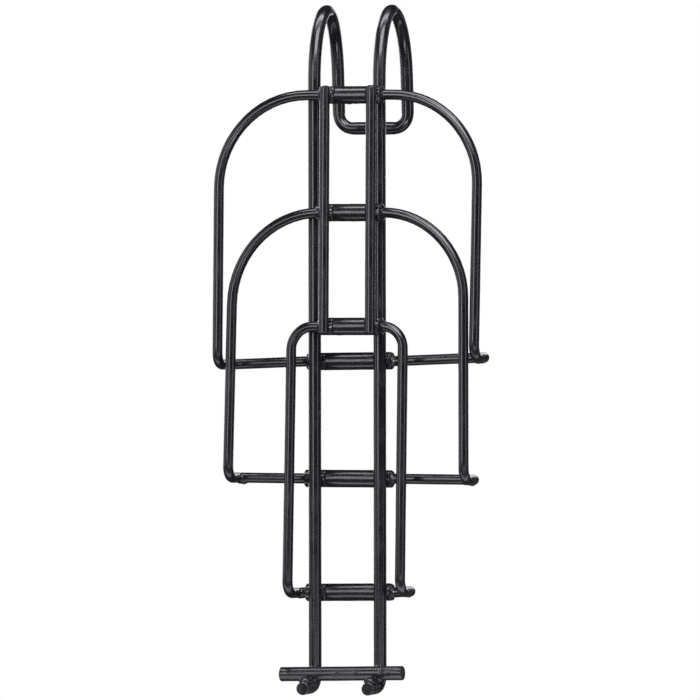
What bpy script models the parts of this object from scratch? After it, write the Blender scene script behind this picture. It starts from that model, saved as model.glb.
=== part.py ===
"""Hang-over folding rack of bent steel rod and wire.

Metres, +Z up. The origin is the underside of the two hook tops, midway between them, where a rail
or a board bears. -Y is the front, the side the three bails swing out to. At rest the rack is folded.
"""

import math

import bmesh
import bpy
from mathutils import Matrix, Vector

# Stock sizes
ROD_RADIUS = 0.005
WIRE_RADIUS = 0.004
CROSS_BAR_RADIUS = 0.0056
TUBE_RADIUS = 0.0069
TUBE_BORE_RADIUS = 0.0046
GAP = 0.0003
SIDES_RESOLUTION = 3
TUBE_STEPS = 20
ARC_STEP = math.radians(11)

# Frame: one rod, bent into two uprights, two hooks and the bar that joins the hooks' rear legs
UPRIGHT_X = 0.02775
HOOK_SPRING_Z = -0.050
HOOK_APEX_Z = ROD_RADIUS
HOOK_FRONT_RUN = 0.0302
UPRIGHT_Y = -HOOK_FRONT_RUN
HOOK_REAR_RUN = 0.0276
HOOK_FLARE = 0.05
HOOK_STEPS = 8
REAR_LEG_X = 0.0295
REAR_BAR_Z = -0.089
REAR_CORNER_RADIUS = 0.012
CROSS_BAR_Z = -0.5276
CROSS_BAR_CENTRE_X = -0.0006
CROSS_BAR_LENGTH = 0.1032
CROSS_BAR_WRAP = ROD_RADIUS + GAP + CROSS_BAR_RADIUS
CROSS_BAR_Y = UPRIGHT_Y - CROSS_BAR_WRAP
PRONG_REACH = 0.030

# Hinges: three tubes behind the uprights, and three more on the ladder in front of them
TUBE_OFFSET = ROD_RADIUS + GAP + TUBE_RADIUS
HINGE_Y = UPRIGHT_Y + TUBE_OFFSET
BAIL_Y = UPRIGHT_Y - TUBE_OFFSET
LEVELS = ("upper", "middle", "lower")
HINGE_Z = {"upper": -0.2769, "middle": -0.3713, "lower": -0.4626}
HINGE_TUBE = {"upper": (-0.0006, 0.0690), "middle": (-0.0014, 0.0712), "lower": (-0.0022, 0.0707)}
BAIL_RISE = 0.2136
LADDER_TUBE = {"upper": (0.0063, 0.0488), "middle": (0.0065, 0.0546), "lower": (0.0049, 0.0481)}

# Bails: x of the left and right legs at the top and at the hinge, and the two top corners' radii
BAIL_LEGS = {
    "upper": ((-0.1048, -0.1068), (0.1162, 0.1122), (0.075, 0.070)),
    "middle": ((-0.0924, -0.0978), (0.1031, 0.1034), (0.075, 0.068)),
    "lower": ((-0.0432, -0.0468), (0.0520, 0.0493), (0.019, 0.017)),
}
STUB_BEND_RADIUS = 0.0105
STUB_OVERRUN = 0.0015

# Ladder: two bars on the front of the three bail tubes
LADDER_BAR_Y = BAIL_Y - (TUBE_RADIUS + GAP + WIRE_RADIUS)
LADDER_BAR_X = {"left": -0.01125, "right": 0.02825}
LADDER_BAR_TOP_Z = -0.0567
LADDER_BAR_BOTTOM_Z = -0.2542

# Weld beads: a bead's half length along the bars' corner, and half thickness across it
WELD_SIZE = (0.0042, 0.0029, 0.0031)
WELD_OFFSET = 0.0064
STUB_WELD_INSET = 0.0036


def clear_scene():
    for obj in list(bpy.data.objects):
        bpy.data.objects.remove(obj)


def make_collection(name):
    collection = bpy.data.collections.new(name)
    bpy.context.scene.collection.children.link(collection)
    return collection


def make_material(name, colour, roughness, metallic):
    material = bpy.data.materials.new(name)
    material.use_nodes = True
    shader = material.node_tree.nodes["Principled BSDF"]
    shader.inputs["Base Color"].default_value = (*colour, 1.0)
    shader.inputs["Roughness"].default_value = roughness
    shader.inputs["Metallic"].default_value = metallic
    return material


def rounded_route(corners, radii):
    """Points along straight runs between the corners, with an arc of the given radius at each inner one."""
    points = [corners[0]]
    for before, corner, after, radius in zip(corners, corners[1:], corners[2:], radii):
        back = (before - corner).normalized()
        ahead = (after - corner).normalized()
        half_angle = back.angle(ahead) / 2
        turn = math.pi - 2 * half_angle
        centre = corner + (back + ahead).normalized() * (radius / math.sin(half_angle))
        start = corner + back * (radius / math.tan(half_angle)) - centre
        axis = start.cross(-back).normalized()
        steps = max(2, math.ceil(turn / ARC_STEP))
        for step in range(steps + 1):
            points.append(centre + Matrix.Rotation(turn * step / steps, 3, axis) @ start)
    points.append(corners[-1])
    return points


def make_wire(name, points, radius, material, collection, origin=Vector((0, 0, 0))):
    """A round bar along the points, closed at both ends."""
    curve = bpy.data.curves.new(name, "CURVE")
    curve.dimensions = "3D"
    curve.bevel_depth = radius
    curve.bevel_resolution = SIDES_RESOLUTION
    curve.use_fill_caps = True
    spline = curve.splines.new("POLY")
    spline.points.add(len(points) - 1)
    for point, place in zip(spline.points, points):
        point.co = (*(place - origin), 1.0)
    curve.materials.append(material)
    obj = bpy.data.objects.new(name, curve)
    obj.location = origin
    collection.objects.link(obj)
    return obj


def make_tube(name, centre, length, material, collection):
    """A tube along X: its wall's section, turned with a Screw modifier."""
    section = [
        (TUBE_RADIUS, length / 2),
        (TUBE_RADIUS, -length / 2),
        (TUBE_BORE_RADIUS, -length / 2),
        (TUBE_BORE_RADIUS, length / 2),
    ]
    mesh = bpy.data.meshes.new(name)
    count = len(section)
    edges = [(i, (i + 1) % count) for i in range(count)]
    mesh.from_pydata([(x, 0, z) for x, z in section], edges, [])
    mesh.materials.append(material)
    obj = bpy.data.objects.new(name, mesh)
    collection.objects.link(obj)
    screw = obj.modifiers.new("turn", "SCREW")
    screw.steps = TUBE_STEPS
    screw.render_steps = TUBE_STEPS
    screw.use_merge_vertices = True
    screw.merge_threshold = 0.00005
    obj.location = centre
    obj.rotation_euler = (0, math.radians(90), 0)
    return obj


def make_cutter(name, start, end, radius, collection):
    """A bar's shape plus the clearance that a weld bead keeps from it."""
    axis = end - start
    mesh = bpy.data.meshes.new(name)
    shape = bmesh.new()
    bmesh.ops.create_cone(
        shape,
        cap_ends=True,
        segments=16,
        radius1=radius + GAP,
        radius2=radius + GAP,
        depth=axis.length + 2 * GAP,
    )
    shape.to_mesh(mesh)
    shape.free()
    obj = bpy.data.objects.new(name, mesh)
    obj.location = (start + end) / 2
    obj.rotation_euler = axis.to_track_quat("Z", "Y").to_euler()
    obj.hide_render = True
    obj.display_type = "WIRE"
    collection.objects.link(obj)
    return obj


def make_weld(name, centre, cutters, material, collection, origin=Vector((0, 0, 0))):
    """A weld bead: a squashed ball in a corner, cut clear of the two bars that it joins."""
    mesh = bpy.data.meshes.new(name)
    shape = bmesh.new()
    bmesh.ops.create_uvsphere(shape, u_segments=10, v_segments=7, radius=1)
    bmesh.ops.scale(shape, vec=WELD_SIZE, verts=shape.verts)
    bmesh.ops.translate(shape, vec=centre - origin, verts=shape.verts)
    shape.to_mesh(mesh)
    shape.free()
    mesh.shade_smooth()
    mesh.materials.append(material)
    obj = bpy.data.objects.new(name, mesh)
    obj.location = origin
    collection.objects.link(obj)
    for cutter in cutters:
        cut = obj.modifiers.new(f"clear_of_{cutter.name}", "BOOLEAN")
        cut.operation = "DIFFERENCE"
        cut.object = cutter
    return obj


def hook_points(side):
    """The rod's centre line from an upright's top, over the hook, to the start of its rear leg."""
    rise = HOOK_APEX_Z - HOOK_SPRING_Z
    points = []
    for step in range(2 * HOOK_STEPS + 1):
        angle = math.pi * (1 - step / (2 * HOOK_STEPS))
        run = HOOK_FRONT_RUN if angle > math.pi / 2 else HOOK_REAR_RUN
        z = HOOK_SPRING_Z + rise * math.sin(angle)
        y = run * math.cos(angle)
        half_width = UPRIGHT_X
        if angle <= math.pi / 2:
            y += HOOK_FLARE * (HOOK_APEX_Z - z)
            half_width += (REAR_LEG_X - UPRIGHT_X) * math.cos(angle)
        points.append(Vector((side * half_width, y, z)))
    return points


def frame_half(side):
    """The rod's centre line from a prong's tip up to the middle of the bar at the back."""
    corner_z = CROSS_BAR_Z - CROSS_BAR_WRAP
    corner = Vector((side * UPRIGHT_X, UPRIGHT_Y, corner_z))
    tip = corner - PRONG_REACH * Vector((0, 1, 0))
    hook = hook_points(side)
    prong = rounded_route([tip, corner, hook[0]], [CROSS_BAR_WRAP])[:-1]
    rear_y = hook[-1].y + HOOK_FLARE * (hook[-1].z - REAR_BAR_Z)
    rear_corner = Vector((side * REAR_LEG_X, rear_y, REAR_BAR_Z))
    middle = Vector((0, rear_y, REAR_BAR_Z))
    rear = rounded_route([hook[-1], rear_corner, middle], [REAR_CORNER_RADIUS])[1:]
    return prong + hook + rear


def bail_points(level):
    """A bail's centre line: stub, bend, left leg, arch, right leg, bend, stub."""
    (left_top, left_foot), (right_top, right_foot), (left_radius, right_radius) = BAIL_LEGS[level]
    top = HINGE_Z[level] + BAIL_RISE
    foot = HINGE_Z[level]
    stub_end = HINGE_Y + STUB_OVERRUN
    corners = [
        Vector((left_foot, stub_end, foot)),
        Vector((left_foot, BAIL_Y, foot)),
        Vector((left_top, BAIL_Y, top)),
        Vector((right_top, BAIL_Y, top)),
        Vector((right_foot, BAIL_Y, foot)),
        Vector((right_foot, stub_end, foot)),
    ]
    return rounded_route(corners, [STUB_BEND_RADIUS, left_radius, right_radius, STUB_BEND_RADIUS])


def add_frame(paint, parts, cutters):
    """The rod, the cross bar in the corners of its prongs, and the hinge tubes behind its uprights."""
    left = frame_half(-1)
    right = frame_half(1)
    make_wire("frame_rod", left + right[-2::-1], ROD_RADIUS, paint, parts)

    half = Vector((CROSS_BAR_LENGTH / 2, 0, 0))
    middle = Vector((CROSS_BAR_CENTRE_X, CROSS_BAR_Y, CROSS_BAR_Z))
    make_wire("cross_bar", [middle - half, middle + half], CROSS_BAR_RADIUS, paint, parts)
    bar_cutter = make_cutter("cross_bar_cutter", middle - half, middle + half, CROSS_BAR_RADIUS, cutters)

    tube_cutters = {}
    for level in LEVELS:
        x, length = HINGE_TUBE[level]
        centre = Vector((x, HINGE_Y, HINGE_Z[level]))
        make_tube(f"{level}_hinge_tube", centre, length, paint, parts)
        half = Vector((length / 2, 0, 0))
        tube_cutters[level] = make_cutter(
            f"{level}_hinge_tube_cutter", centre - half, centre + half, TUBE_RADIUS, cutters
        )

    for side, name in ((-1, "left"), (1, "right")):
        x = side * UPRIGHT_X
        foot = Vector((x, UPRIGHT_Y, CROSS_BAR_Z))
        head = Vector((x, UPRIGHT_Y, HOOK_SPRING_Z))
        upright_cutter = make_cutter(f"{name}_upright_cutter", foot, head, ROD_RADIUS, cutters)
        make_weld(
            f"cross_bar_weld_{name}",
            Vector((x, UPRIGHT_Y - WELD_OFFSET, CROSS_BAR_Z + WELD_OFFSET)),
            [bar_cutter, upright_cutter],
            paint,
            parts,
        )
        for level in LEVELS:
            make_weld(
                f"{level}_hinge_tube_weld_{name}",
                Vector((x, UPRIGHT_Y + WELD_OFFSET, HINGE_Z[level] + WELD_OFFSET)),
                [tube_cutters[level], upright_cutter],
                paint,
                parts,
            )


def add_bails(paint, parts, cutters):
    """Each bail with its hinge pin, both placed from the pin's axis, which the bail turns about."""
    for level in LEVELS:
        axis = Vector((0, HINGE_Y, HINGE_Z[level]))
        make_wire(f"{level}_bail", bail_points(level), WIRE_RADIUS, paint, parts, axis)
        (_, left_foot), (_, right_foot), _ = BAIL_LEGS[level]
        inset = Vector((WIRE_RADIUS + GAP, 0, 0))
        start = axis + Vector((left_foot, 0, 0)) + inset
        end = axis + Vector((right_foot, 0, 0)) - inset
        make_wire(f"{level}_bail_pin", [start, end], WIRE_RADIUS, paint, parts, axis)
        pin_cutter = make_cutter(f"{level}_pin_cutter", start, end, WIRE_RADIUS, cutters)
        for side, name, foot in ((-1, "left", left_foot), (1, "right", right_foot)):
            stub_start = Vector((foot, BAIL_Y + STUB_BEND_RADIUS, HINGE_Z[level]))
            stub_end = Vector((foot, HINGE_Y + STUB_OVERRUN, HINGE_Z[level]))
            stub_cutter = make_cutter(
                f"{level}_{name}_stub_cutter", stub_start, stub_end, WIRE_RADIUS, cutters
            )
            make_weld(
                f"{level}_bail_weld_{name}",
                Vector((foot - side * STUB_WELD_INSET, HINGE_Y + WIRE_RADIUS, HINGE_Z[level])),
                [pin_cutter, stub_cutter],
                paint,
                parts,
                axis,
            )


def add_ladder(paint, parts, cutters):
    """Three tubes that turn on the bails' tops, and the two bars across their fronts.

    The ladder hangs from the upper bail, so its pieces belong to an empty on that bail's top.
    """
    axis = Vector((0, BAIL_Y, HINGE_Z["upper"] + BAIL_RISE))
    pivot = bpy.data.objects.new("ladder_axis", None)
    pivot.location = axis
    parts.objects.link(pivot)
    pieces = []
    bar_cutters = {}
    for name, x in LADDER_BAR_X.items():
        top = Vector((x, LADDER_BAR_Y, LADDER_BAR_TOP_Z))
        bottom = Vector((x, LADDER_BAR_Y, LADDER_BAR_BOTTOM_Z))
        pieces.append(make_wire(f"ladder_bar_{name}", [bottom, top], WIRE_RADIUS, paint, parts))
        bar_cutters[name] = make_cutter(f"ladder_bar_{name}_cutter", bottom, top, WIRE_RADIUS, cutters)
    for level in LEVELS:
        x, length = LADDER_TUBE[level]
        centre = Vector((x, BAIL_Y, HINGE_Z[level] + BAIL_RISE))
        pieces.append(make_tube(f"{level}_ladder_tube", centre, length, paint, parts))
        half = Vector((length / 2, 0, 0))
        tube_cutter = make_cutter(
            f"{level}_ladder_tube_cutter", centre - half, centre + half, TUBE_RADIUS, cutters
        )
        inner_side = -1 if level == "upper" else 1
        for name, bar_x in LADDER_BAR_X.items():
            weld = make_weld(
                f"{level}_ladder_weld_{name}",
                Vector((bar_x, BAIL_Y - WELD_OFFSET, centre.z + inner_side * WELD_OFFSET)),
                [tube_cutter, bar_cutters[name]],
                paint,
                parts,
            )
            pieces.append(weld)
    for piece in pieces:
        piece.parent = pivot
        piece.matrix_parent_inverse = Matrix.Translation(-axis)


def main():
    clear_scene()
    parts = make_collection("folding_luggage_rack")
    cutters = make_collection("cutters")
    paint = make_material("black_paint", (0.016, 0.016, 0.019), 0.36, 0.0)
    add_frame(paint, parts, cutters)
    add_bails(paint, parts, cutters)
    add_ladder(paint, parts, cutters)


main()
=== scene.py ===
import math
import random

import bmesh
import bpy
from mathutils import Matrix, Vector, noise


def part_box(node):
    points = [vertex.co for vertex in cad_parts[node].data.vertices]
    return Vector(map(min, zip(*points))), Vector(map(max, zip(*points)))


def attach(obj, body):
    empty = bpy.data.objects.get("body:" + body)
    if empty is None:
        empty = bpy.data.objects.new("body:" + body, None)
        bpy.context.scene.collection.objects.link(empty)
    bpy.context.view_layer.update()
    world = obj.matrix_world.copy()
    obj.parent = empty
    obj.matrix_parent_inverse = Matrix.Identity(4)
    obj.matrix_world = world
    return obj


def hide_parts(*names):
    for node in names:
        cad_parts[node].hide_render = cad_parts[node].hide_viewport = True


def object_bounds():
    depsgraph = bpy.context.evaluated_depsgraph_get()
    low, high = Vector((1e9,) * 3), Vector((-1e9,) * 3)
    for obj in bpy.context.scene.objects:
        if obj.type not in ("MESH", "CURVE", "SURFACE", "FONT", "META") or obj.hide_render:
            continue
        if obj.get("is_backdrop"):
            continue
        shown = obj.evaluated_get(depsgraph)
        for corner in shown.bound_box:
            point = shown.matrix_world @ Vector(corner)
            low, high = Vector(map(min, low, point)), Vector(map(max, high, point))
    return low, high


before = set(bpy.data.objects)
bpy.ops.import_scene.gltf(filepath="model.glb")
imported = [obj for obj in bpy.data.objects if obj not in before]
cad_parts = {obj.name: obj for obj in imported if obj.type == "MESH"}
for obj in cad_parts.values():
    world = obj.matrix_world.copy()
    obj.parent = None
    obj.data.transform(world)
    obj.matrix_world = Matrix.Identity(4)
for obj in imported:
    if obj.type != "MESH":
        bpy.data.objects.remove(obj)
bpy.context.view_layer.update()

print("frame loaded:", len(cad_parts), "CAD nodes")

levels = ("upper", "middle", "lower")
sides = ((-1, "left"), (1, "right"))
scene = bpy.context.scene

barStock = {
    "sectionSides": 28,
    "arcStep": math.radians(6),
    "runStep": 0.004,
    "paintFilm": 0.00017,
    "wobble": 0.00005,
    "wobbleLength": 0.021,
    "wobbleRound": 0.35,  # how much the unevenness changes round the bar
    "chamfer": 0.00045,
    "cutRings": (0.45, 0.8),  # rings across a cut end, as shares of its radius
    "cutRoughness": 0.00012,
    "cutGrain": 1400,
    "cutFace": 0.9,  # rings beyond this share belong to the rim
    "rimRoughness": 0.4,
    "bendFlattening": 0.13,
    "sharpAngle": math.radians(38),
}


def spacedOut(points, longest):
    # long straight runs get points in between, so that small dents can show on them
    spaced = [points[0]]
    for start, end in zip(points, points[1:]):
        parts = max(1, math.ceil((end - start).length / longest))
        for part in range(1, parts + 1):
            spaced.append(start.lerp(end, part / parts))
    return spaced


def bentRoute(corners, radii):
    # straight runs between the corners, with an arc at each inner one
    points = [corners[0]]
    for before, corner, after, radius in zip(corners, corners[1:], corners[2:], radii):
        back = (before - corner).normalized()
        ahead = (after - corner).normalized()
        halfAngle = back.angle(ahead) / 2
        turn = math.pi - 2 * halfAngle
        centre = corner + (back + ahead).normalized() * (radius / math.sin(halfAngle))
        start = corner + back * (radius / math.tan(halfAngle)) - centre
        axis = start.cross(-back).normalized()
        steps = max(3, math.ceil(turn / barStock["arcStep"]))
        for step in range(steps + 1):
            points.append(centre + Matrix.Rotation(turn * step / steps, 3, axis) @ start)
    points.append(corners[-1])
    return spacedOut(points, barStock["runStep"])


def finishPiece(name, mesh, runs, rubs, material, body, nodes):
    # run: place along and round the straightened bar, rubbed: how much the paint has worn there
    if runs:
        run = mesh.attributes.new("run", "FLOAT_VECTOR", "POINT")
        run.data.foreach_set("vector", [value for place in runs for value in place])
        rubbed = mesh.attributes.new("rubbed", "FLOAT", "POINT")
        rubbed.data.foreach_set("value", rubs)
    mesh.shade_smooth()
    if runs:
        mesh.set_sharp_from_angle(angle=barStock["sharpAngle"])
    mesh.materials.append(material)
    piece = bpy.data.objects.new(name, mesh)
    scene.collection.objects.link(piece)
    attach(piece, body)
    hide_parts(*nodes)
    return piece


def sweepBar(name, route, radius, seed, material, body, nodes, rubAt=None, dents=()):
    # a round bar along the route: slightly uneven, a little flat where it was bent, with cut ends
    count = barStock["sectionSides"]
    radius = radius + barStock["paintFilm"]
    tangents = []
    for i in range(len(route)):
        ahead = route[min(i + 1, len(route) - 1)] - route[max(i - 1, 0)]
        tangents.append(ahead.normalized())
    along = [0.0]
    for start, end in zip(route, route[1:]):
        along.append(along[-1] + (end - start).length)
    normal = tangents[0].orthogonal().normalized()

    points = []
    runs = []
    rubs = []

    def addRing(centre, tangent, normal, bend, size, distance, roughness):
        binormal = tangent.cross(normal)
        for side in range(count):
            angle = 2 * math.pi * side / count
            out = normal * math.cos(angle) + binormal * math.sin(angle)
            spread = size
            if bend.length > 1.0:
                share = min(1.0, bend.length * radius) * barStock["bendFlattening"]
                spread *= 1 - share * out.dot(bend.normalized()) ** 2
            sway = Vector((distance / barStock["wobbleLength"], seed, 0)) + out * barStock["wobbleRound"]
            spread += barStock["wobble"] * noise.noise(sway)
            point = centre + out * spread
            for place, dentSize, depth in dents:
                near = max(0.0, 1 - (point - place).length / dentSize)
                point = point - out * depth * near * near * (3 - 2 * near)
            if roughness:
                point = point + tangent * roughness * noise.noise(point * barStock["cutGrain"])
            points.append(point)
            runs.append((distance, size * math.cos(angle), size * math.sin(angle)))
            rubs.append(rubAt(point) if rubAt else 0.0)

    chamfer = barStock["chamfer"]
    cutEnd = [(share, 0) for share in barStock["cutRings"]]
    cutEnd += [(1 - chamfer / radius, 0), (1, chamfer)]

    def cutRoughness(size):
        return barStock["cutRoughness"] * (1 if size < barStock["cutFace"] else barStock["rimRoughness"])

    rings = []
    for i, centre in enumerate(route):
        if i:
            turn = tangents[i - 1].rotation_difference(tangents[i])
            normal = (turn @ normal).normalized()
        before = route[max(i - 1, 0)]
        after = route[min(i + 1, len(route) - 1)]
        stretch = max(1e-6, (after - before).length / 2)
        bend = Vector((0, 0, 0))
        if 0 < i < len(route) - 1:
            bend = (tangents[i + 1] - tangents[i - 1]) / (2 * stretch)
        tangent = tangents[i]
        if i == 0:
            for size, step in cutEnd:
                place = centre + tangent * step
                rings.append((place, tangent, normal, bend, radius * size, step, cutRoughness(size)))
        elif i == len(route) - 1:
            for size, step in reversed(cutEnd):
                place = centre - tangent * step
                distance = along[i] - step
                rings.append((place, tangent, normal, bend, radius * size, distance, cutRoughness(size)))
        else:
            rings.append((centre, tangent, normal, bend, radius, along[i], 0.0))
    for ring in rings:
        addRing(*ring)
    faces = []
    for ring in range(len(rings) - 1):
        for side in range(count):
            a = ring * count + side
            b = ring * count + (side + 1) % count
            faces.append((a, b, b + count, a + count))
    last = (len(rings) - 1) * count
    for centre, distance, first, flip in (
        (route[0], 0.0, 0, True),
        (route[-1], along[-1], last, False),
    ):
        points.append(centre)
        runs.append((distance, 0, 0))
        rubs.append(0.0)
        tip = len(points) - 1
        for side in range(count):
            a = first + side
            b = first + (side + 1) % count
            faces.append((b, a, tip) if flip else (a, b, tip))
    mesh = bpy.data.meshes.new(name)
    mesh.from_pydata(points, [], faces)
    return finishPiece(name, mesh, runs, rubs, material, body, nodes)


tubeStock = {
    "turnSides": 40,
    "slice": 0.0028,
    "chamfer": 0.00055,
    "bore": 0.0047,
    "boreChamfer": 0.0003,
    "wobble": 0.00009,
    "wobbleGrain": 130,
    "burr": 0.00016,
    "burrGrain": 900,
}


def turnTube(name, centre, length, radius, tilt, seed, material, body, nodes, drips=()):
    # a piece of pipe along X: chamfered ends, a real wall and bore, hand-ground a little uneven
    radius = radius + barStock["paintFilm"]
    half = length / 2
    chamfer = tubeStock["chamfer"]
    bore = tubeStock["bore"]
    inner = tubeStock["boreChamfer"]
    slices = math.ceil((length - 2 * chamfer) / tubeStock["slice"])
    profile = [(-half + chamfer + (length - 2 * chamfer) * i / slices, radius) for i in range(slices + 1)]
    profile += [(half, radius - chamfer), (half, bore + inner), (half - inner, bore)]
    profile += [(-half + inner, bore), (-half, bore + inner), (-half, radius - chamfer)]
    count = tubeStock["turnSides"]
    place = Matrix.Translation(centre) @ Matrix.Rotation(-tilt, 4, "Y")
    points = []
    runs = []
    for x, size in profile:
        for side in range(count):
            angle = 2 * math.pi * side / count
            out = Vector((0, math.cos(angle), math.sin(angle)))
            spread = size
            if size > bore + inner:
                sway = Vector((x * tubeStock["wobbleGrain"], seed, 0)) + out
                spread += tubeStock["wobble"] * noise.noise(sway)
            local = Vector((x, 0, 0)) + out * spread
            if abs(x) >= half - 1e-6:
                burr = noise.noise(local * tubeStock["burrGrain"]) - 0.5
                local.x += math.copysign(tubeStock["burr"], x) * burr
            for dripX, dripAngle, dripSize, depth in drips:
                reach = Vector((x - dripX, (angle - dripAngle) * size, 0)).length / dripSize
                if size >= radius - chamfer and reach < 1:
                    local += out * depth * (1 - reach * reach) ** 2
            points.append(place @ local)
            runs.append((x + half, size * math.cos(angle), size * math.sin(angle)))
    faces = []
    rows = len(profile)
    for row in range(rows):
        for side in range(count):
            a = row * count + side
            b = row * count + (side + 1) % count
            c = ((row + 1) % rows) * count + (side + 1) % count
            d = ((row + 1) % rows) * count + side
            faces.append((a, d, c, b))
    mesh = bpy.data.meshes.new(name)
    mesh.from_pydata(points, [], faces)
    return finishPiece(name, mesh, runs, [0.0] * len(points), material, body, nodes)


weldStock = {
    "stubSides": 28,
    "beadSides": (16, 10),
    "beadSwell": (0.86, 1.14),
    "grain": 0.0005,
    "softening": 0.5,
    "smoothing": 10,
    "tuck": 0.0001,
    "jitter": 0.0004,
    "lumpSize": 0.0032,
    "lumpHeight": 0.00035,
    "lumpReach": 0.0012,  # how far past its beads a weld is lumpy
    "lumpDrift": (3.1, 1.7),
}


def laidWeld(name, stubs, beads, seed, material, body, nodes):
    # stubs of the joined bars and lumps of weld metal between them, fused so that the corners fill
    luck = random.Random(seed)
    mesh = bpy.data.meshes.new(name)
    shape = bmesh.new()
    for start, end, radius in stubs:
        axis = end - start
        turn = axis.to_track_quat("Z", "Y").to_matrix().to_4x4()
        bmesh.ops.create_cone(
            shape,
            cap_ends=True,
            segments=weldStock["stubSides"],
            radius1=radius - weldStock["tuck"],
            radius2=radius - weldStock["tuck"],
            depth=axis.length,
            matrix=Matrix.Translation((start + end) / 2) @ turn,
        )
    across, down = weldStock["beadSides"]
    for centre, size in beads:
        shift = Vector([luck.uniform(-1, 1) * weldStock["jitter"] for _ in range(3)])
        swell = luck.uniform(*weldStock["beadSwell"])
        place = Matrix.Translation(centre + shift) @ Matrix.Diagonal((*(Vector(size) * swell), 1))
        bmesh.ops.create_uvsphere(shape, u_segments=across, v_segments=down, radius=1, matrix=place)
    shape.to_mesh(mesh)
    shape.free()
    lump = bpy.data.objects.new(name, mesh)
    scene.collection.objects.link(lump)
    fuse = lump.modifiers.new("fuse", "REMESH")
    fuse.mode = "VOXEL"
    fuse.voxel_size = weldStock["grain"]
    soften = lump.modifiers.new("soften", "SMOOTH")
    soften.factor = weldStock["softening"]
    soften.iterations = weldStock["smoothing"]
    bpy.context.view_layer.update()
    graph = bpy.context.evaluated_depsgraph_get()
    fused = bpy.data.meshes.new_from_object(lump.evaluated_get(graph))
    bpy.data.objects.remove(lump)
    bpy.data.meshes.remove(mesh)
    driftX, driftY = weldStock["lumpDrift"]
    drift = Vector((seed * driftX, seed * driftY, 0))
    middles = [centre for centre, size in beads]
    reach = max(max(size) for centre, size in beads) + weldStock["lumpReach"]
    normals = [vertex.normal.copy() for vertex in fused.vertices]
    for vertex, normal in zip(fused.vertices, normals):
        nearest = min((vertex.co - middle).length for middle in middles)
        share = max(0.0, 1 - nearest / reach)
        lift = noise.noise(vertex.co / weldStock["lumpSize"] + drift)
        vertex.co += normal * weldStock["lumpHeight"] * lift * share
    fused.name = name
    return finishPiece(name, fused, None, None, material, body, nodes)


enamelLook = {
    "black": (0.0046, 0.0045, 0.0062, 1),
    # pale grey of scuffs and dust, also used as a painted highlight on chamfered edges
    "scuffDustAndGlint": (0.045, 0.044, 0.052, 1),
    "roughness": 0.23,
    "coatWeight": 0.25,
    "coatRoughness": 0.12,
    "peelDepth": 0.00004,
    "peelGrain": 620,
    "runsGrain": 95,
    "runsStretch": (0.35, 1, 1),
    "patchGrain": 48,
    "lumpGrain": 260,
    "nibGrain": 330,
    "nibCrowding": 140,
    "hairStretch": (60, 1300, 1300),
    "ringStretch": (700, 90, 90),
    "dust": 0.09,
    # how far sharp chamfers lighten: partly real edge wear, partly a painted highlight for chamfer glints
    "wornEdgesAndGlint": 0.45,
    "wornRoughness": 0.22,
    "ringRoughness": 0.12,
    "height": {"peel": 0.05, "runs": 0.6, "nibs": 0.2, "scuffs": 0.08, "rings": 0.12},
}
steelLook = {
    "bright": (0.52, 0.49, 0.47, 1),
    "stained": (0.22, 0.195, 0.18, 1),
    "raggedGrain": 520,
    "raggedDepth": 0.9,
    "turnedStretch": (2600, 90, 90),
    "sunk": 0.5,
}


def newGroup(name, inputs, outputs):
    group = bpy.data.node_groups.new(name, "ShaderNodeTree")
    for socketName, kind, value in inputs:
        socket = group.interface.new_socket(name=socketName, in_out="INPUT", socket_type=kind)
        if value is not None:
            socket.default_value = value
    for socketName, kind in outputs:
        group.interface.new_socket(name=socketName, in_out="OUTPUT", socket_type=kind)
    return group, group.nodes.new("NodeGroupInput"), group.nodes.new("NodeGroupOutput")


def addNode(tree, kind, **settings):
    node = tree.nodes.new(kind)
    for key, value in settings.items():
        setattr(node, key, value)
    return node


def addMath(tree, operation, first, second, clamp=False):
    node = addNode(tree, "ShaderNodeMath", operation=operation, use_clamp=clamp)
    for socket, value in zip(node.inputs, (first, second)):
        if isinstance(value, (int, float)):
            socket.default_value = value
        else:
            tree.links.new(value, socket)
    return node.outputs[0]


def addRange(tree, value, low, high, toLow=0.0, toHigh=1.0):
    node = addNode(tree, "ShaderNodeMapRange", interpolation_type="SMOOTHSTEP")
    tree.links.new(value, node.inputs["Value"])
    for socket, number in zip(node.inputs[1:5], (low, high, toLow, toHigh)):
        socket.default_value = number
    return node.outputs["Result"]


def addMix(tree, share, first, second):
    node = addNode(tree, "ShaderNodeMix", data_type="RGBA")
    tree.links.new(share, node.inputs["Factor"])
    for socket, value in zip((node.inputs[6], node.inputs[7]), (first, second)):
        if isinstance(value, tuple):
            socket.default_value = value
        else:
            tree.links.new(value, socket)
    return node.outputs[2]


def addNoise(tree, vector, scale, detail=2.0, roughness=0.5, stretch=None):
    if stretch:
        scaling = addNode(tree, "ShaderNodeVectorMath", operation="MULTIPLY")
        scaling.inputs[1].default_value = stretch
        tree.links.new(vector, scaling.inputs[0])
        vector = scaling.outputs[0]
    node = addNode(tree, "ShaderNodeTexNoise")
    node.inputs["Scale"].default_value = scale
    node.inputs["Detail"].default_value = detail
    node.inputs["Roughness"].default_value = roughness
    tree.links.new(vector, node.inputs["Vector"])
    return node.outputs["Fac"]


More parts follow.
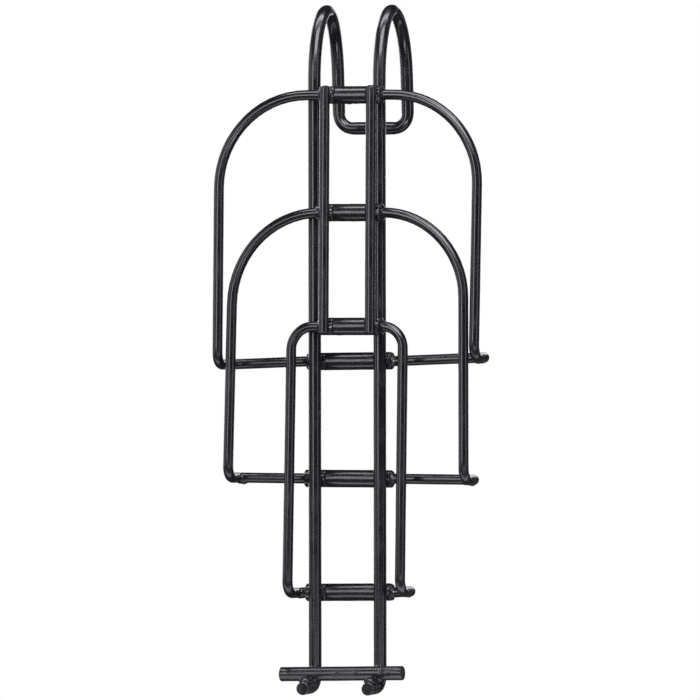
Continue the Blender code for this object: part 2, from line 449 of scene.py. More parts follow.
def makeEnamelGroup():
    # brushed or sprayed black enamel: orange peel, soft runs, dust nibs, lengthwise scuffs, tool rings
    group, given, made = newGroup(
        "enamelSkin",
        [
            ("Run", "NodeSocketVector", None),
            ("Black", "NodeSocketColor", (0.01, 0.01, 0.012, 1)),
            ("Scuff Dust And Glint", "NodeSocketColor", (0.05, 0.05, 0.055, 1)),
            ("Roughness", "NodeSocketFloat", 0.3),
            ("Scuffs", "NodeSocketFloat", 0.5),
            ("Tool Rings", "NodeSocketFloat", 0.2),
            ("Lumps", "NodeSocketFloat", 0.3),
        ],
        [
            ("Colour", "NodeSocketColor"),
            ("Roughness", "NodeSocketFloat"),
            ("Height", "NodeSocketFloat"),
        ],
    )
    run = given.outputs["Run"]
    peel = addNoise(group, run, enamelLook["peelGrain"], 2.0, 0.45)
    runsDown = addNoise(group, run, enamelLook["runsGrain"], 2.0, 0.5, enamelLook["runsStretch"])
    patches = addNoise(group, run, enamelLook["patchGrain"], 3.0, 0.6)
    hairs = addNoise(group, run, 1, 2.0, 0.5, enamelLook["hairStretch"])
    ringNoise = addNoise(group, run, 1, 2.0, 0.5, enamelLook["ringStretch"])
    lumpNoise = addNoise(group, run, enamelLook["lumpGrain"], 3.0, 0.6)
    nibs = addNode(group, "ShaderNodeTexVoronoi")
    nibs.inputs["Scale"].default_value = enamelLook["nibGrain"]
    group.links.new(run, nibs.inputs["Vector"])
    nibMask = addRange(group, nibs.outputs["Distance"], 0.16, 0.05)
    nibChance = addRange(group, addNoise(group, run, enamelLook["nibCrowding"], 1.0), 0.55, 0.68)
    nibMask = addMath(group, "MULTIPLY", nibMask, nibChance)

    hairMask = addRange(group, hairs, 0.56, 0.72)
    scuffMask = addMath(group, "MULTIPLY", hairMask, addRange(group, patches, 0.5, 0.66))
    scuffMask = addMath(group, "MULTIPLY", scuffMask, given.outputs["Scuffs"], True)
    ringMask = addRange(group, ringNoise, 0.52, 0.7)
    ringMask = addMath(group, "MULTIPLY", ringMask, given.outputs["Tool Rings"], True)
    # sharp chamfers and cut edges turn towards the pale grey: partly real edge wear, partly a painted
    # highlight standing in for glints on the chamfers
    corners = addNode(group, "ShaderNodeNewGeometry").outputs["Pointiness"]
    edge = addRange(group, corners, 0.53, 0.62, 0.0, enamelLook["wornEdgesAndGlint"])
    wearAndGlint = addMath(group, "MAXIMUM", scuffMask, edge)
    dusty = addMath(group, "MULTIPLY", addRange(group, patches, 0.35, 0.8), enamelLook["dust"])
    tint = addMix(group, dusty, given.outputs["Black"], given.outputs["Scuff Dust And Glint"])
    group.links.new(addMix(group, wearAndGlint, tint, given.outputs["Scuff Dust And Glint"]), made.inputs["Colour"])

    uneven = addRange(group, patches, 0.3, 0.7, -0.05, 0.09)
    rough = addMath(group, "ADD", given.outputs["Roughness"], uneven)
    rough = addMath(group, "ADD", rough, addMath(group, "MULTIPLY", wearAndGlint, enamelLook["wornRoughness"]))
    ringed = addMath(group, "MULTIPLY", ringMask, enamelLook["ringRoughness"])
    group.links.new(addMath(group, "ADD", rough, ringed, True), made.inputs["Roughness"])

    heights = enamelLook["height"]
    height = addMath(group, "MULTIPLY", peel, heights["peel"])
    for operation, mask, key in (
        ("ADD", runsDown, "runs"),
        ("ADD", nibMask, "nibs"),
        ("SUBTRACT", scuffMask, "scuffs"),
        ("SUBTRACT", ringMask, "rings"),
    ):
        height = addMath(group, operation, height, addMath(group, "MULTIPLY", mask, heights[key]))
    lumps = addMath(group, "MULTIPLY", lumpNoise, given.outputs["Lumps"])
    group.links.new(addMath(group, "ADD", height, lumps), made.inputs["Height"])
    return group


def makeRubbedGroup():
    # where the paint is rubbed through to bare steel, with a ragged edge and stains
    group, given, made = newGroup(
        "rubbedToSteel",
        [
            ("Run", "NodeSocketVector", None),
            ("Rubbed", "NodeSocketFloat", 0.0),
            ("Paint Colour", "NodeSocketColor", (0.01, 0.01, 0.012, 1)),
            ("Paint Roughness", "NodeSocketFloat", 0.3),
            ("Paint Height", "NodeSocketFloat", 0.5),
            ("Steel", "NodeSocketColor", (0.45, 0.41, 0.38, 1)),
            ("Stain", "NodeSocketColor", (0.17, 0.13, 0.11, 1)),
        ],
        [
            ("Colour", "NodeSocketColor"),
            ("Roughness", "NodeSocketFloat"),
            ("Metallic", "NodeSocketFloat"),
            ("Height", "NodeSocketFloat"),
        ],
    )
    run = given.outputs["Run"]
    ragged = addMath(group, "SUBTRACT", addNoise(group, run, steelLook["raggedGrain"], 3.0, 0.6), 0.5)
    ragged = addMath(group, "MULTIPLY", ragged, steelLook["raggedDepth"])
    mask = addRange(group, addMath(group, "ADD", given.outputs["Rubbed"], ragged), 0.42, 0.56)
    mask = addMath(group, "MULTIPLY", mask, addRange(group, given.outputs["Rubbed"], 0.02, 0.2))
    turned = addNoise(group, run, 1, 2.0, 0.5, steelLook["turnedStretch"])
    clean = addRange(group, turned, 0.35, 0.7)
    steel = addMix(group, clean, given.outputs["Stain"], given.outputs["Steel"])
    group.links.new(addMix(group, mask, given.outputs["Paint Colour"], steel), made.inputs["Colour"])
    group.links.new(mask, made.inputs["Metallic"])
    bareRough = addMath(group, "MULTIPLY", mask, addRange(group, turned, 0.3, 0.7, 0.02, 0.16))
    rough = addMath(group, "ADD", given.outputs["Paint Roughness"], bareRough)
    group.links.new(rough, made.inputs["Roughness"])
    depth = addMath(group, "MULTIPLY", mask, steelLook["sunk"])
    sunk = addMath(group, "SUBTRACT", given.outputs["Paint Height"], depth)
    group.links.new(sunk, made.inputs["Height"])
    return group


enamelGroup = makeEnamelGroup()
rubbedGroup = makeRubbedGroup()


def makeFinish(name, values, onBars=True):
    # one enamel finish: the skin, then whatever is rubbed through it
    material = bpy.data.materials.new(name)
    material.use_nodes = True
    tree = material.node_tree
    shader = tree.nodes["Principled BSDF"]
    if onBars:
        run = addNode(tree, "ShaderNodeAttribute", attribute_name="run").outputs["Vector"]
    else:
        run = addNode(tree, "ShaderNodeTexCoord").outputs["Object"]
    shifted = addNode(tree, "ShaderNodeVectorMath", operation="ADD")
    shifted.inputs[1].default_value = values["shift"]
    tree.links.new(run, shifted.inputs[0])
    skin = addNode(tree, "ShaderNodeGroup", node_tree=enamelGroup)
    tree.links.new(shifted.outputs[0], skin.inputs["Run"])
    skin.inputs["Black"].default_value = enamelLook["black"]
    skin.inputs["Scuff Dust And Glint"].default_value = enamelLook["scuffDustAndGlint"]
    skin.inputs["Roughness"].default_value = values.get("roughness", enamelLook["roughness"])
    for socket, key in (("Scuffs", "scuffs"), ("Tool Rings", "toolRings"), ("Lumps", "lumps")):
        skin.inputs[socket].default_value = values[key]
    outlets = {"Base Color": skin.outputs["Colour"], "Roughness": skin.outputs["Roughness"]}
    height = skin.outputs["Height"]
    if onBars:
        steel = addNode(tree, "ShaderNodeGroup", node_tree=rubbedGroup)
        rubbed = addNode(tree, "ShaderNodeAttribute", attribute_name="rubbed")
        tree.links.new(shifted.outputs[0], steel.inputs["Run"])
        tree.links.new(rubbed.outputs["Fac"], steel.inputs["Rubbed"])
        tree.links.new(skin.outputs["Colour"], steel.inputs["Paint Colour"])
        tree.links.new(skin.outputs["Roughness"], steel.inputs["Paint Roughness"])
        tree.links.new(height, steel.inputs["Paint Height"])
        steel.inputs["Steel"].default_value = steelLook["bright"]
        steel.inputs["Stain"].default_value = steelLook["stained"]
        height = steel.outputs["Height"]
        outlets = {
            "Base Color": steel.outputs["Colour"],
            "Roughness": steel.outputs["Roughness"],
            "Metallic": steel.outputs["Metallic"],
        }
    for socket, outlet in outlets.items():
        tree.links.new(outlet, shader.inputs[socket])
    bump = addNode(tree, "ShaderNodeBump")
    bump.inputs["Strength"].default_value = values["bump"]
    bump.inputs["Distance"].default_value = values.get("depth", enamelLook["peelDepth"])
    tree.links.new(height, bump.inputs["Height"])
    tree.links.new(bump.outputs["Normal"], shader.inputs["Normal"])
    shader.inputs["Coat Weight"].default_value = enamelLook["coatWeight"]
    shader.inputs["Coat Roughness"].default_value = enamelLook["coatRoughness"]
    return material


finishes = {
    "frameRod": {"shift": (0, 0, 0), "scuffs": 0.7, "toolRings": 0.45, "lumps": 0.1, "bump": 0.4},
    "bailWire": {"shift": (3.1, 0, 0), "scuffs": 0.5, "toolRings": 0.15, "lumps": 0.1, "bump": 0.35},
    "hingePin": {"shift": (5.7, 0, 0), "scuffs": 0.6, "toolRings": 0.2, "lumps": 0.15, "bump": 0.45},
    "hingeTube": {"shift": (8.3, 0, 0), "scuffs": 0.8, "toolRings": 0.1, "lumps": 0.3, "bump": 0.55},
    "ladderBar": {"shift": (11.9, 0, 0), "scuffs": 0.6, "toolRings": 0.2, "lumps": 0.2, "bump": 0.45},
    "crossBar": {
        "shift": (14.2, 0, 0),
        "scuffs": 1.0,
        "toolRings": 0.3,
        "lumps": 0.5,
        "bump": 0.7,
        "roughness": 0.31,
    },
    "weldBead": {
        "shift": (0.4, 0.3, 0.2),
        "scuffs": 0.1,
        "toolRings": 0.0,
        "lumps": 0.3,
        "bump": 0.25,
        "roughness": 0.26,
        "depth": 0.00006,
    },
}
enamels = {}
for name, values in finishes.items():
    enamels[name] = makeFinish(name + "Enamel", values, name != "weldBead")
print("finishes made:", len(enamels))


def middleOf(node):
    low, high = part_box(node)
    return (low + high) / 2


def sizeOf(node):
    low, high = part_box(node)
    return high - low


# the cross bar and the welds also read the hinge tubes' and the bails' sizes, so those come first
hingeTube = {
    "radius": 0.0069,
    "seedStep": 7.3,
    "tilt": {"upper": 0.0115, "middle": -0.003, "lower": 0.0095},
    "leftOverrun": {"upper": 0.0027, "middle": 0.0026, "lower": 0.0013},
}
bail = {
    "radius": 0.004,
    "seed": 10,
    "seedStep": 5.1,
    "left": {"upper": (-0.1048, -0.1068), "middle": (-0.0924, -0.0978), "lower": (-0.0432, -0.0468)},
    "right": {"upper": (0.1162, 0.1122), "middle": (0.1031, 0.1034), "lower": (0.0520, 0.0493)},
    "corners": {"upper": (0.075, 0.070), "middle": (0.075, 0.068), "lower": (0.019, 0.017)},
    "stubBend": 0.0105,
    "stubOverrun": 0.0015,
}
bailPin = {
    "seed": 30,
    "seedStep": 3.7,
    "slope": {"upper": 0.0393, "middle": -0.0093, "lower": 0.072},
    "inset": 0.5,  # share of the wire's radius that the pin stops short of the legs' middles
    "runStep": 0.0015,
    "rubLength": 0.0062,
    "rubbed": {"upper": (0.15, 1.0), "middle": (0.2, 0.6), "lower": (0.4, 1.1)},  # left, right
}
frameRod = {
    "radius": 0.005,
    "seed": 1.5,
    "uprightX": 0.02775,
    "lean": 0.0009,
    "leanTop": -0.02,
    "leanBottom": -0.53,
    "hookSpringZ": -0.050,
    "hookRun": (0.0302, 0.0276),
    "hookFlare": 0.05,
    "hookSteps": 26,
    "rearLegX": 0.0295,
    "rearBarZ": -0.089,
    "rearCorner": 0.012,
    "prongBend": 0.0109,
    "prongReach": 0.0305,
    "prongDroop": 0.0013,
    "prongLift": 0.0003,
    "railWear": {"amount": 0.22, "depth": 0.004, "reach": 0.02},
    "dents": (
        ((0.0295, 0.026, -0.052), 0.005, 0.0003),
        ((0.0275, -0.033, -0.018), 0.004, 0.0003),
        ((0.0275, -0.031, -0.035), 0.003, 0.00025),
        ((-0.0278, -0.035, -0.47), 0.004, 0.0002),
    ),
}
crossBar = {
    "radius": 0.0056,
    "seed": 4.2,
    "tilt": 0.0155,
    "overrun": 0.0005,
    "runStep": 0.0011,
    "restWear": {"amount": 0.35, "reach": 0.047, "width": 0.004},
    "restFacing": (0, -0.645, 0.764),
    "restDent": (0.0045, 0.0004),
    "dents": (
        (0.034, (0, -0.0052, 0.0022), 0.0022, 0.0009),
        (0.0405, (0, -0.0056, -0.0012), 0.0018, 0.0004),
        (-0.004, (0, -0.0056, -0.001), 0.003, 0.0003),
        (0.012, (0, -0.0058, 0.0), 0.0024, 0.0003),
    ),
}
frontOfFrame = -frameRod["hookRun"][0]
barMiddle = middleOf("cross_bar")


def uprightX(side, z):
    # the uprights lean over by under a millimetre from top to bottom
    share = (z - frameRod["leanTop"]) / (frameRod["leanBottom"] - frameRod["leanTop"])
    return side * frameRod["uprightX"] + frameRod["lean"] * (min(1, max(0, share)) - 0.5)


def hookRoute(side):
    apex = frameRod["radius"]
    spring = frameRod["hookSpringZ"]
    frontRun, rearRun = frameRod["hookRun"]
    points = []
    for step in range(2 * frameRod["hookSteps"] + 1):
        angle = math.pi * (1 - step / (2 * frameRod["hookSteps"]))
        z = spring + (apex - spring) * math.sin(angle)
        x = uprightX(side, spring)
        y = frontRun * math.cos(angle)
        if angle <= math.pi / 2:
            y = rearRun * math.cos(angle) + frameRod["hookFlare"] * (apex - z)
            x += side * (frameRod["rearLegX"] - frameRod["uprightX"]) * math.cos(angle)
        points.append(Vector((x, y, z)))
    return points


def halfFrame(side):
    bend = frameRod["prongBend"]
    cornerZ = barMiddle.z - bend
    corner = Vector((uprightX(side, cornerZ), frontOfFrame, cornerZ + frameRod["prongLift"]))
    tip = corner - Vector((0, frameRod["prongReach"], frameRod["prongDroop"]))
    hook = hookRoute(side)
    rearY = hook[-1].y + frameRod["hookFlare"] * (hook[-1].z - frameRod["rearBarZ"])
    rearCorner = Vector((side * frameRod["rearLegX"], rearY, frameRod["rearBarZ"]))
    middle = Vector((0, rearY, frameRod["rearBarZ"]))
    prong = bentRoute([tip, corner, hook[0]], [bend])[:-1]
    rear = bentRoute([hook[-1], rearCorner, middle], [frameRod["rearCorner"]])[1:]
    return prong + hook + rear


def hookWear(point):
    # the hooks' undersides rub on the rail that they hang on
    wear = frameRod["railWear"]
    if abs(point.y) >= wear["reach"]:
        return 0.0
    return wear["amount"] * max(0.0, 1 - abs(point.z) / wear["depth"])


rodDents = [(Vector(place), size, depth) for place, size, depth in frameRod["dents"]]
sweepBar(
    "frameRod",
    halfFrame(-1) + halfFrame(1)[-2::-1],
    frameRod["radius"],
    frameRod["seed"],
    enamels["frameRod"],
    "frame",
    ["frame_rod"],
    hookWear,
    rodDents,
)

barHalf = sizeOf("cross_bar").x / 2 + crossBar["overrun"]


def onCrossBar(x):
    return Vector((x, barMiddle.y, barMiddle.z + crossBar["tilt"] * (x - barMiddle.x)))


def crossBarWear(point):
    # the lower bail's legs come to rest near the bar's ends
    wear = crossBar["restWear"]
    if point.y >= barMiddle.y:
        return 0.0
    return wear["amount"] * max(0.0, 1 - abs(abs(point.x) - wear["reach"]) / wear["width"])


restSpot = Vector(crossBar["restFacing"]) * crossBar["radius"]
crossDents = []
for side, name in sides:
    crossDents.append((onCrossBar(bail[name]["lower"][1]) + restSpot, *crossBar["restDent"]))
for x, offset, size, depth in crossBar["dents"]:
    crossDents.append((onCrossBar(x) + Vector(offset), size, depth))
barEnds = [onCrossBar(barMiddle.x - barHalf), onCrossBar(barMiddle.x + barHalf)]
sweepBar(
    "crossBar",
    spacedOut(barEnds, crossBar["runStep"]),
    crossBar["radius"],
    crossBar["seed"],
    enamels["crossBar"],
    "frame",
    ["cross_bar"],
    crossBarWear,
    crossDents,
)
print("frame rod and cross bar bent")

hingeMiddle = {level: middleOf(level + "_hinge_tube") for level in levels}
for number, level in enumerate(levels):
    overrun = hingeTube["leftOverrun"][level]
    turnTube(
        level + "HingeTube",
        hingeMiddle[level] - Vector((overrun / 2, 0, 0)),
        sizeOf(level + "_hinge_tube").x + overrun,
        hingeTube["radius"],
        hingeTube["tilt"][level],
        number * hingeTube["seedStep"],
        enamels["hingeTube"],
        "frame",
        [level + "_hinge_tube"],
    )
print("hinge tubes turned")

bailY = middleOf("upper_ladder_tube").y


def pinLift(level, x):
    # the pins run straight through their tubes and slope outside them
    half = sizeOf(level + "_hinge_tube").x / 2 + hingeTube["leftOverrun"][level]
    inside = max(-half, min(half, x))
    return bailPin["slope"][level] * (x - inside)


def onPin(level, x):
    place = hingeMiddle[level]
    return Vector((x, place.y, place.z + pinLift(level, x)))


def bailRoute(level):
    leftTop, leftFoot = bail["left"][level]
    rightTop, rightFoot = bail["right"][level]
    leftCorner, rightCorner = bail["corners"][level]
    top = middleOf(level + "_ladder_tube").z
    stubEnd = Vector((0, bail["stubOverrun"], 0))
    left = onPin(level, leftFoot)
    right = onPin(level, rightFoot)
    corners = [
        left + stubEnd,
        Vector((leftFoot, bailY, left.z)),
        Vector((leftTop, bailY, top)),
        Vector((rightTop, bailY, top)),
        Vector((rightFoot, bailY, right.z)),
        right + stubEnd,
    ]
    return bentRoute(corners, [bail["stubBend"], leftCorner, rightCorner, bail["stubBend"]])


def pinWear(level):
    # bare steel on the pin just outside each end of its tube
    half = sizeOf(level + "_hinge_tube").x / 2
    middle = hingeMiddle[level].x

    def wear(point):
        out = point.x - middle
        amount = bailPin["rubbed"][level][0 if out < 0 else 1]
        return amount * max(0.0, 1 - max(0.0, abs(out) - half) / bailPin["rubLength"])

    return wear


for number, level in enumerate(levels):
    body = level + "_bail"
    sweepBar(
        level + "BailWire",
        bailRoute(level),
        bail["radius"],
        bail["seed"] + number * bail["seedStep"],
        enamels["bailWire"],
        body,
        [level + "_bail"],
    )
    inset = bail["radius"] * bailPin["inset"]
    start = onPin(level, bail["left"][level][1] + inset)
    end = onPin(level, bail["right"][level][1] - inset)
    half = sizeOf(level + "_hinge_tube").x / 2
    route = spacedOut([start, onPin(level, -half), onPin(level, half), end], bailPin["runStep"])
    sweepBar(
        level + "BailPin",
        route,
        bail["radius"],
        bailPin["seed"] + number * bailPin["seedStep"],
        enamels["hingePin"],
        body,
        [level + "_bail_pin"],
        pinWear(level),
    )
print("bails and pins bent")

ladder = {
    "barRadius": 0.004,
    "barSeed": 50,
    "barSeedStep": 4.9,
    "lean": 0.001,
    "tubeRadius": 0.0069,
    "tubeSeed": 40,
    "tubeSeedStep": 6.1,
    # lumps of run metal on the tubes: place along, angle round, size, height
    "drips": {
        "upper": [
            (-0.006, 4.55, 0.0022, 0.0005),
            (-0.0005, 4.7, 0.003, 0.0007),
            (0.0055, 4.5, 0.002, 0.0004),
        ],
        "middle": [(0.004, 4.6, 0.0025, 0.0003)],
        "lower": [(-0.008, 4.7, 0.0022, 0.0003)],
    },
}
tubeMiddle = {level: middleOf(level + "_ladder_tube") for level in levels}
for number, level in enumerate(levels):
    turnTube(
        level + "LadderTube",
        tubeMiddle[level],
        sizeOf(level + "_ladder_tube").x,
        ladder["tubeRadius"],
        0.0,
        ladder["tubeSeed"] + number * ladder["tubeSeedStep"],
        enamels["hingeTube"],
        "ladder",
        [level + "_ladder_tube"],
        ladder["drips"][level],
    )


def ladderX(name, z):
    low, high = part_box("ladder_bar_" + name)
    share = (z - low.z) / (high.z - low.z)
    return (low.x + high.x) / 2 + ladder["lean"] * (share - 0.5)


ladderY = middleOf("ladder_bar_left").y
for number, (side, name) in enumerate(sides):
    low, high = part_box("ladder_bar_" + name)
    ends = [Vector((ladderX(name, z), ladderY, z)) for z in (low.z, high.z)]
    sweepBar(
        name + "LadderBar",
        spacedOut(ends, barStock["runStep"]),
        ladder["barRadius"],
        ladder["barSeed"] + number * ladder["barSeedStep"],
        enamels["ladderBar"],
        "ladder",
        ["ladder_bar_" + name],
    )
print("ladder made")

weld = {
    "stub": 0.0068,
    "seeds": {"hinge": 100, "ladder": 200, "pin": 300, "crossBar": 400},
    "cornerBead": (0.0020, 0.0019, 0.0024),
    "cornerSteps": (-0.0042, -0.0015, 0.0013, 0.0040),
    "cornerDepth": 0.98,  # share of the bar's radius, towards the tube
    "cornerCurve": 55,  # the outer beads follow the tube's round side
    "hingeSpread": 0.0004,
    "ladderSpread": 0.0006,
    "ladderEndBead": (0.0036, 0.0030, 0.0012),
    "ladderEndBack": 0.0016,
    "tuck": 0.0004,
}
pinWeld = {
    "inner": 0.0085,
    "front": 0.006,
    # metal round the elbow: place inward of the leg, drop, size
    "beads": (
        (0.0015, 0.0006, (0.0044, 0.0043, 0.0044)),
        (0.0048, 0.0004, (0.0042, 0.0042, 0.0043)),
        (0.0072, 0.0001, (0.0026, 0.0041, 0.0041)),
    ),
}
crossBarWeld = {
    "postMiddle": 0.004,  # above the bar's middle
    "postDown": 0.003,
    "postUp": 0.006,
    "prongStart": 0.003,
    "prongAhead": (0.0145, 0.0005),  # ahead, drop
    "prongBack": 0.005,
    "postSteps": (-0.0022, 0.0018),
    "postBeadAt": (0.0046, 0.0046),  # ahead of the post, above the bar
    "postBead": (0.0018, 0.0018, 0.0017),
    "underReach": 0.0042,
    "underSteps": (-0.0022, 0.001, 0.0042),
    "underDrop": 0.0056,
    "underBead": (0.0017, 0.0021, 0.0017),
    "toeStart": 0.75,
    # metal run forward along the top of the prong: step aside, place ahead, size
    "toeBeads": (
        (-0.0006, 0.0005, (0.0040, 0.0042, 0.0026)),
        (0.0006, 0.0048, (0.0043, 0.0042, 0.0026)),
        (-0.0003, 0.0095, (0.0045, 0.0040, 0.0027)),
    ),
}
up = Vector((0, 0, 1))
right = Vector((1, 0, 0))


def cornerBeads(x, barY, barRadius, tubeY, z, spread):
    # beads down both sides of a bar where it crosses a tube, in the corner between them
    towards = 1 if tubeY > barY else -1
    beads = []
    for side in (-1, 1):
        for step in weld["cornerSteps"]:
            y = barY + towards * barRadius * weld["cornerDepth"]
            place = Vector((x + side * (barRadius + spread), y, z + step))
            place.y += towards * step * step * weld["cornerCurve"]
            beads.append((place, weld["cornerBead"]))
    return beads


for number, (side, name) in enumerate(sides):
    for count, level in enumerate(levels, number * 10):
        z = hingeMiddle[level].z + hingeTube["tilt"][level] * side * frameRod["uprightX"]
        x = uprightX(side, z)
        centre = Vector((x, hingeMiddle[level].y, z))
        tube = (centre - right * weld["stub"], centre + right * weld["stub"], hingeTube["radius"])
        post = Vector((x, frontOfFrame, z))
        rod = (post - up * weld["stub"], post + up * weld["stub"], frameRod["radius"])
        laidWeld(
            level + "HingeWeld" + name.capitalize(),
            [tube, rod],
            cornerBeads(x, frontOfFrame, frameRod["radius"], centre.y, z, weld["hingeSpread"]),
            weld["seeds"]["hinge"] + count,
            enamels["weldBead"],
            "frame",
            [f"{level}_hinge_tube_weld_{name}"],
        )

        place = tubeMiddle[level]
        z = place.z
        x = ladderX(name, z)
        low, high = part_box("ladder_bar_" + name)
        barLow = Vector((x, ladderY, max(low.z + weld["tuck"], z - weld["stub"])))
        barHigh = Vector((x, ladderY, min(high.z - weld["tuck"], z + weld["stub"])))
        beads = cornerBeads(x, ladderY, ladder["barRadius"], place.y, z, weld["ladderSpread"])
        if level != "middle":
            endZ = high.z if level == "upper" else low.z
            beads.append((Vector((x, ladderY + weld["ladderEndBack"], endZ)), weld["ladderEndBead"]))
        centre = Vector((x, place.y, z))
        laidWeld(
            level + "LadderWeld" + name.capitalize(),
            [
                (centre - right * weld["stub"], centre + right * weld["stub"], ladder["tubeRadius"]),
                (barLow, barHigh, ladder["barRadius"]),
            ],
            beads,
            weld["seeds"]["ladder"] + count,
            enamels["weldBead"],
            "ladder",
            [f"{level}_ladder_weld_{name}"],
        )

        foot = bail[name][level][1]
        end = onPin(level, foot)
        inner = onPin(level, foot - side * pinWeld["inner"])
        stubFront = end - Vector((0, pinWeld["front"], 0))
        stubBack = end + Vector((0, bail["stubOverrun"] - weld["tuck"], 0))
        beads = []
        for inward, drop, size in pinWeld["beads"]:
            place = onPin(level, foot - side * inward) - up * drop
            beads.append((place, size))
        laidWeld(
            level + "PinWeld" + name.capitalize(),
            [(inner, end, bail["radius"]), (stubFront, stubBack, bail["radius"])],
            beads,
            weld["seeds"]["pin"] + count,
            enamels["weldBead"],
            level + "_bail",
            [f"{level}_bail_weld_{name}"],
        )

    x = uprightX(side, barMiddle.z)
    seat = onCrossBar(x)
    post = Vector((x, frontOfFrame, seat.z + crossBarWeld["postMiddle"]))
    prongZ = barMiddle.z - frameRod["prongBend"]
    prong = Vector((x, seat.y - crossBarWeld["prongStart"], prongZ))
    prongAhead, prongDrop = crossBarWeld["prongAhead"]
    beads = []
    ahead, above = crossBarWeld["postBeadAt"]
    for step in crossBarWeld["postSteps"]:
        place = Vector((x + step, frontOfFrame - ahead, seat.z + above))
        beads.append((place, crossBarWeld["postBead"]))
    for step in (-1, 1):
        for back in crossBarWeld["underSteps"]:
            beside = x + step * crossBarWeld["underReach"]
            place = Vector((beside, seat.y + back, seat.z - crossBarWeld["underDrop"]))
            beads.append((place, crossBarWeld["underBead"]))
    for step, ahead, size in crossBarWeld["toeBeads"]:
        toeY = seat.y - crossBar["radius"] * crossBarWeld["toeStart"] - ahead
        beads.append((Vector((x + step, toeY, prongZ + frameRod["radius"])), size))
    laidWeld(
        "crossBarWeld" + name.capitalize(),
        [
            (seat - right * weld["stub"], seat + right * weld["stub"], crossBar["radius"]),
            (
                post - up * crossBarWeld["postDown"],
                post + up * crossBarWeld["postUp"],
                frameRod["radius"],
            ),
            (
                prong - Vector((0, prongAhead, prongDrop)),
                prong + Vector((0, crossBarWeld["prongBack"], 0)),
                frameRod["radius"],
            ),
        ],
        beads,
        weld["seeds"]["crossBar"] + number,
        enamels["weldBead"],
        "frame",
        ["cross_bar_weld_" + name],
    )
print("welds laid")

studio = {
    "viewAzimuth": math.radians(20),
    "cameraDistance": 12.0,
    "lens": 768.5,
    "sensor": 36,
    "aim": Vector((0, frontOfFrame, -0.2679)),
    "aimAcross": 0.0022,
    "cameraReach": 50,
    "floorZ": -0.66,
    "floorRadius": 3.2,
    "floorTones": ((0.80, 0.80, 0.79, 1), (0.84, 0.84, 0.83, 1)),
    "floorMirrored": (0.06, 0.06, 0.065, 1),  # what the glossy bars see of it
    "floorRoughness": 0.7,
    "floorGloss": 0.2,
    "floorPatches": 6,
    "floorFade": (0.4, 1.3),  # metres from the middle over which it turns white
    "surround": 0.03,
    "surroundColour": (0.9, 0.92, 1.0, 1),
    "lightColour": (0.94, 0.935, 1.0),
}

floorMesh = bpy.data.meshes.new("floor")
floorShape = bmesh.new()
bmesh.ops.create_circle(floorShape, cap_ends=True, segments=128, radius=studio["floorRadius"])
floorShape.to_mesh(floorMesh)
floorShape.free()
floor = bpy.data.objects.new("floor", floorMesh)
floor.location = (0, 0, studio["floorZ"])
scene.collection.objects.link(floor)
floor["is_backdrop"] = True

floorFinish = bpy.data.materials.new("paleFloor")
floorFinish.use_nodes = True
tree = floorFinish.node_tree
floorShader = tree.nodes["Principled BSDF"]
floorShader.inputs["Roughness"].default_value = studio["floorRoughness"]
floorShader.inputs["Specular IOR Level"].default_value = studio["floorGloss"]
floorPlace = addNode(tree, "ShaderNodeTexCoord").outputs["Object"]
grey = addRange(tree, addNoise(tree, floorPlace, studio["floorPatches"], 3.0), 0.3, 0.7)
lightPath = addNode(tree, "ShaderNodeLightPath")
pale = addMix(tree, grey, *studio["floorTones"])
mirrored = addMix(tree, lightPath.outputs["Is Glossy Ray"], pale, studio["floorMirrored"])
tree.links.new(mirrored, floorShader.inputs["Base Color"])
distance = addNode(tree, "ShaderNodeVectorMath", operation="LENGTH")
tree.links.new(floorPlace, distance.inputs[0])
fade = addRange(tree, distance.outputs["Value"], *studio["floorFade"])
glow = addNode(tree, "ShaderNodeEmission")
blend = addNode(tree, "ShaderNodeMixShader")
tree.links.new(addMath(tree, "MULTIPLY", fade, lightPath.outputs["Is Camera Ray"]), blend.inputs[0])
tree.links.new(floorShader.outputs[0], blend.inputs[1])
tree.links.new(glow.outputs[0], blend.inputs[2])
tree.links.new(blend.outputs[0], tree.nodes["Material Output"].inputs["Surface"])
floorMesh.materials.append(floorFinish)

# white behind the object, a dim surround for reflections so that the round bars keep dark edges
world = bpy.data.worlds.new("studio")
scene.world = world
world.use_nodes = True
tree = world.node_tree
dim = tree.nodes["Background"]
dim.inputs["Color"].default_value = studio["surroundColour"]
dim.inputs["Strength"].default_value = studio["surround"]
white = addNode(tree, "ShaderNodeBackground")
white.inputs["Color"].default_value = (1, 1, 1, 1)
lightPath = addNode(tree, "ShaderNodeLightPath")
blend = addNode(tree, "ShaderNodeMixShader")
tree.links.new(lightPath.outputs["Is Camera Ray"], blend.inputs[0])
tree.links.new(dim.outputs[0], blend.inputs[1])
tree.links.new(white.outputs[0], blend.inputs[2])
tree.links.new(blend.outputs[0], tree.nodes["World Output"].inputs["Surface"])

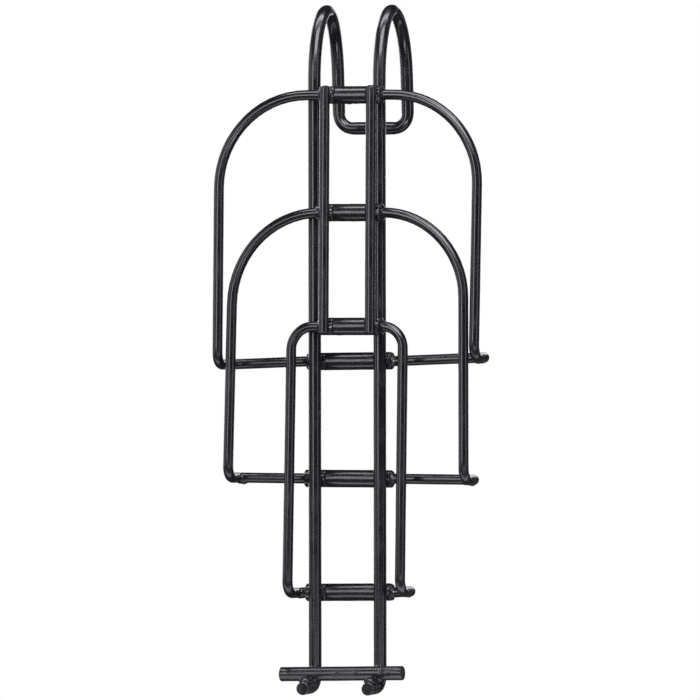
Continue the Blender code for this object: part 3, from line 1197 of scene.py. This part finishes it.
# azimuth counts from the camera's own, and size is width and height in metres
softboxes = {
    "keyLeft": {"azimuth": -34, "elevation": 9, "distance": 1.7, "size": (0.5, 0.85), "glow": 5.7},
    "washLeft": {"azimuth": -90, "elevation": 8, "distance": 1.6, "size": (1.6, 1.2), "glow": 0.95},
    "fillRight": {"azimuth": 55, "elevation": 7, "distance": 1.7, "size": (0.5, 1.2), "glow": 2.1},
    "rimRight": {"azimuth": 118, "elevation": 6, "distance": 1.7, "size": (0.25, 1.1), "glow": 0.8},
    "overhead": {"azimuth": 0, "elevation": 82, "distance": 1.3, "size": (1.7, 0.3), "glow": 9.8},
    "highFront": {"azimuth": 8, "elevation": 45, "distance": 1.6, "size": (1.2, 0.9), "glow": 8.5},
    "lowFront": {"azimuth": 12, "elevation": -21.4, "distance": 0.827, "size": (0.9, 0.14), "glow": 1.7},
    "hookKick": {
        "azimuth": 12,
        "elevation": -21.4,
        "distance": 0.827,
        "size": (0.9, 0.14),
        "glow": 0.3,
        "spread": 24,
        "towards": Vector((0, 0, -0.03)),
    },
    "bounce": {"azimuth": 0, "elevation": -78, "distance": 0.385, "size": (1.2, 0.13), "glow": 2.2},
    "backLeft": {"azimuth": 215, "elevation": 12, "distance": 1.8, "size": (0.7, 1.2), "glow": 3.2},
    "backRight": {"azimuth": 160, "elevation": 8, "distance": 1.8, "size": (0.6, 1.2), "glow": 2.2},
}
for name, values in softboxes.items():
    light = bpy.data.lights.new(name, "AREA")
    light.shape = "RECTANGLE"
    light.size, light.size_y = values["size"]
    light.energy = values["glow"] * math.pi * light.size * light.size_y
    light.color = studio["lightColour"]
    light.spread = math.radians(values.get("spread", 180))
    azimuth = studio["viewAzimuth"] + math.radians(values["azimuth"])
    elevation = math.radians(values["elevation"])
    flat = Vector((math.sin(azimuth), -math.cos(azimuth), 0))
    away = flat * math.cos(elevation) + Vector((0, 0, math.sin(elevation)))
    box = bpy.data.objects.new(name, light)
    box.location = studio["aim"] + away * values["distance"]
    facing = box.location - values.get("towards", studio["aim"])
    box.rotation_euler = facing.to_track_quat("Z", "Y").to_euler()
    box.visible_camera = False
    scene.collection.objects.link(box)

azimuth = studio["viewAzimuth"]
across = Vector((math.cos(azimuth), math.sin(azimuth), 0))
toCamera = Vector((math.sin(azimuth), -math.cos(azimuth), 0))
camera = bpy.data.objects.new("camera", bpy.data.cameras.new("camera"))
camera.location = studio["aim"] + across * studio["aimAcross"] + toCamera * studio["cameraDistance"]
camera.rotation_euler = (math.radians(90), 0, azimuth)
camera.data.lens = studio["lens"]
camera.data.sensor_width = studio["sensor"]
camera.data.clip_end = studio["cameraReach"]
scene.collection.objects.link(camera)
scene.camera = camera
scene.view_settings.view_transform = "Standard"
print("studio set")

low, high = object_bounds()
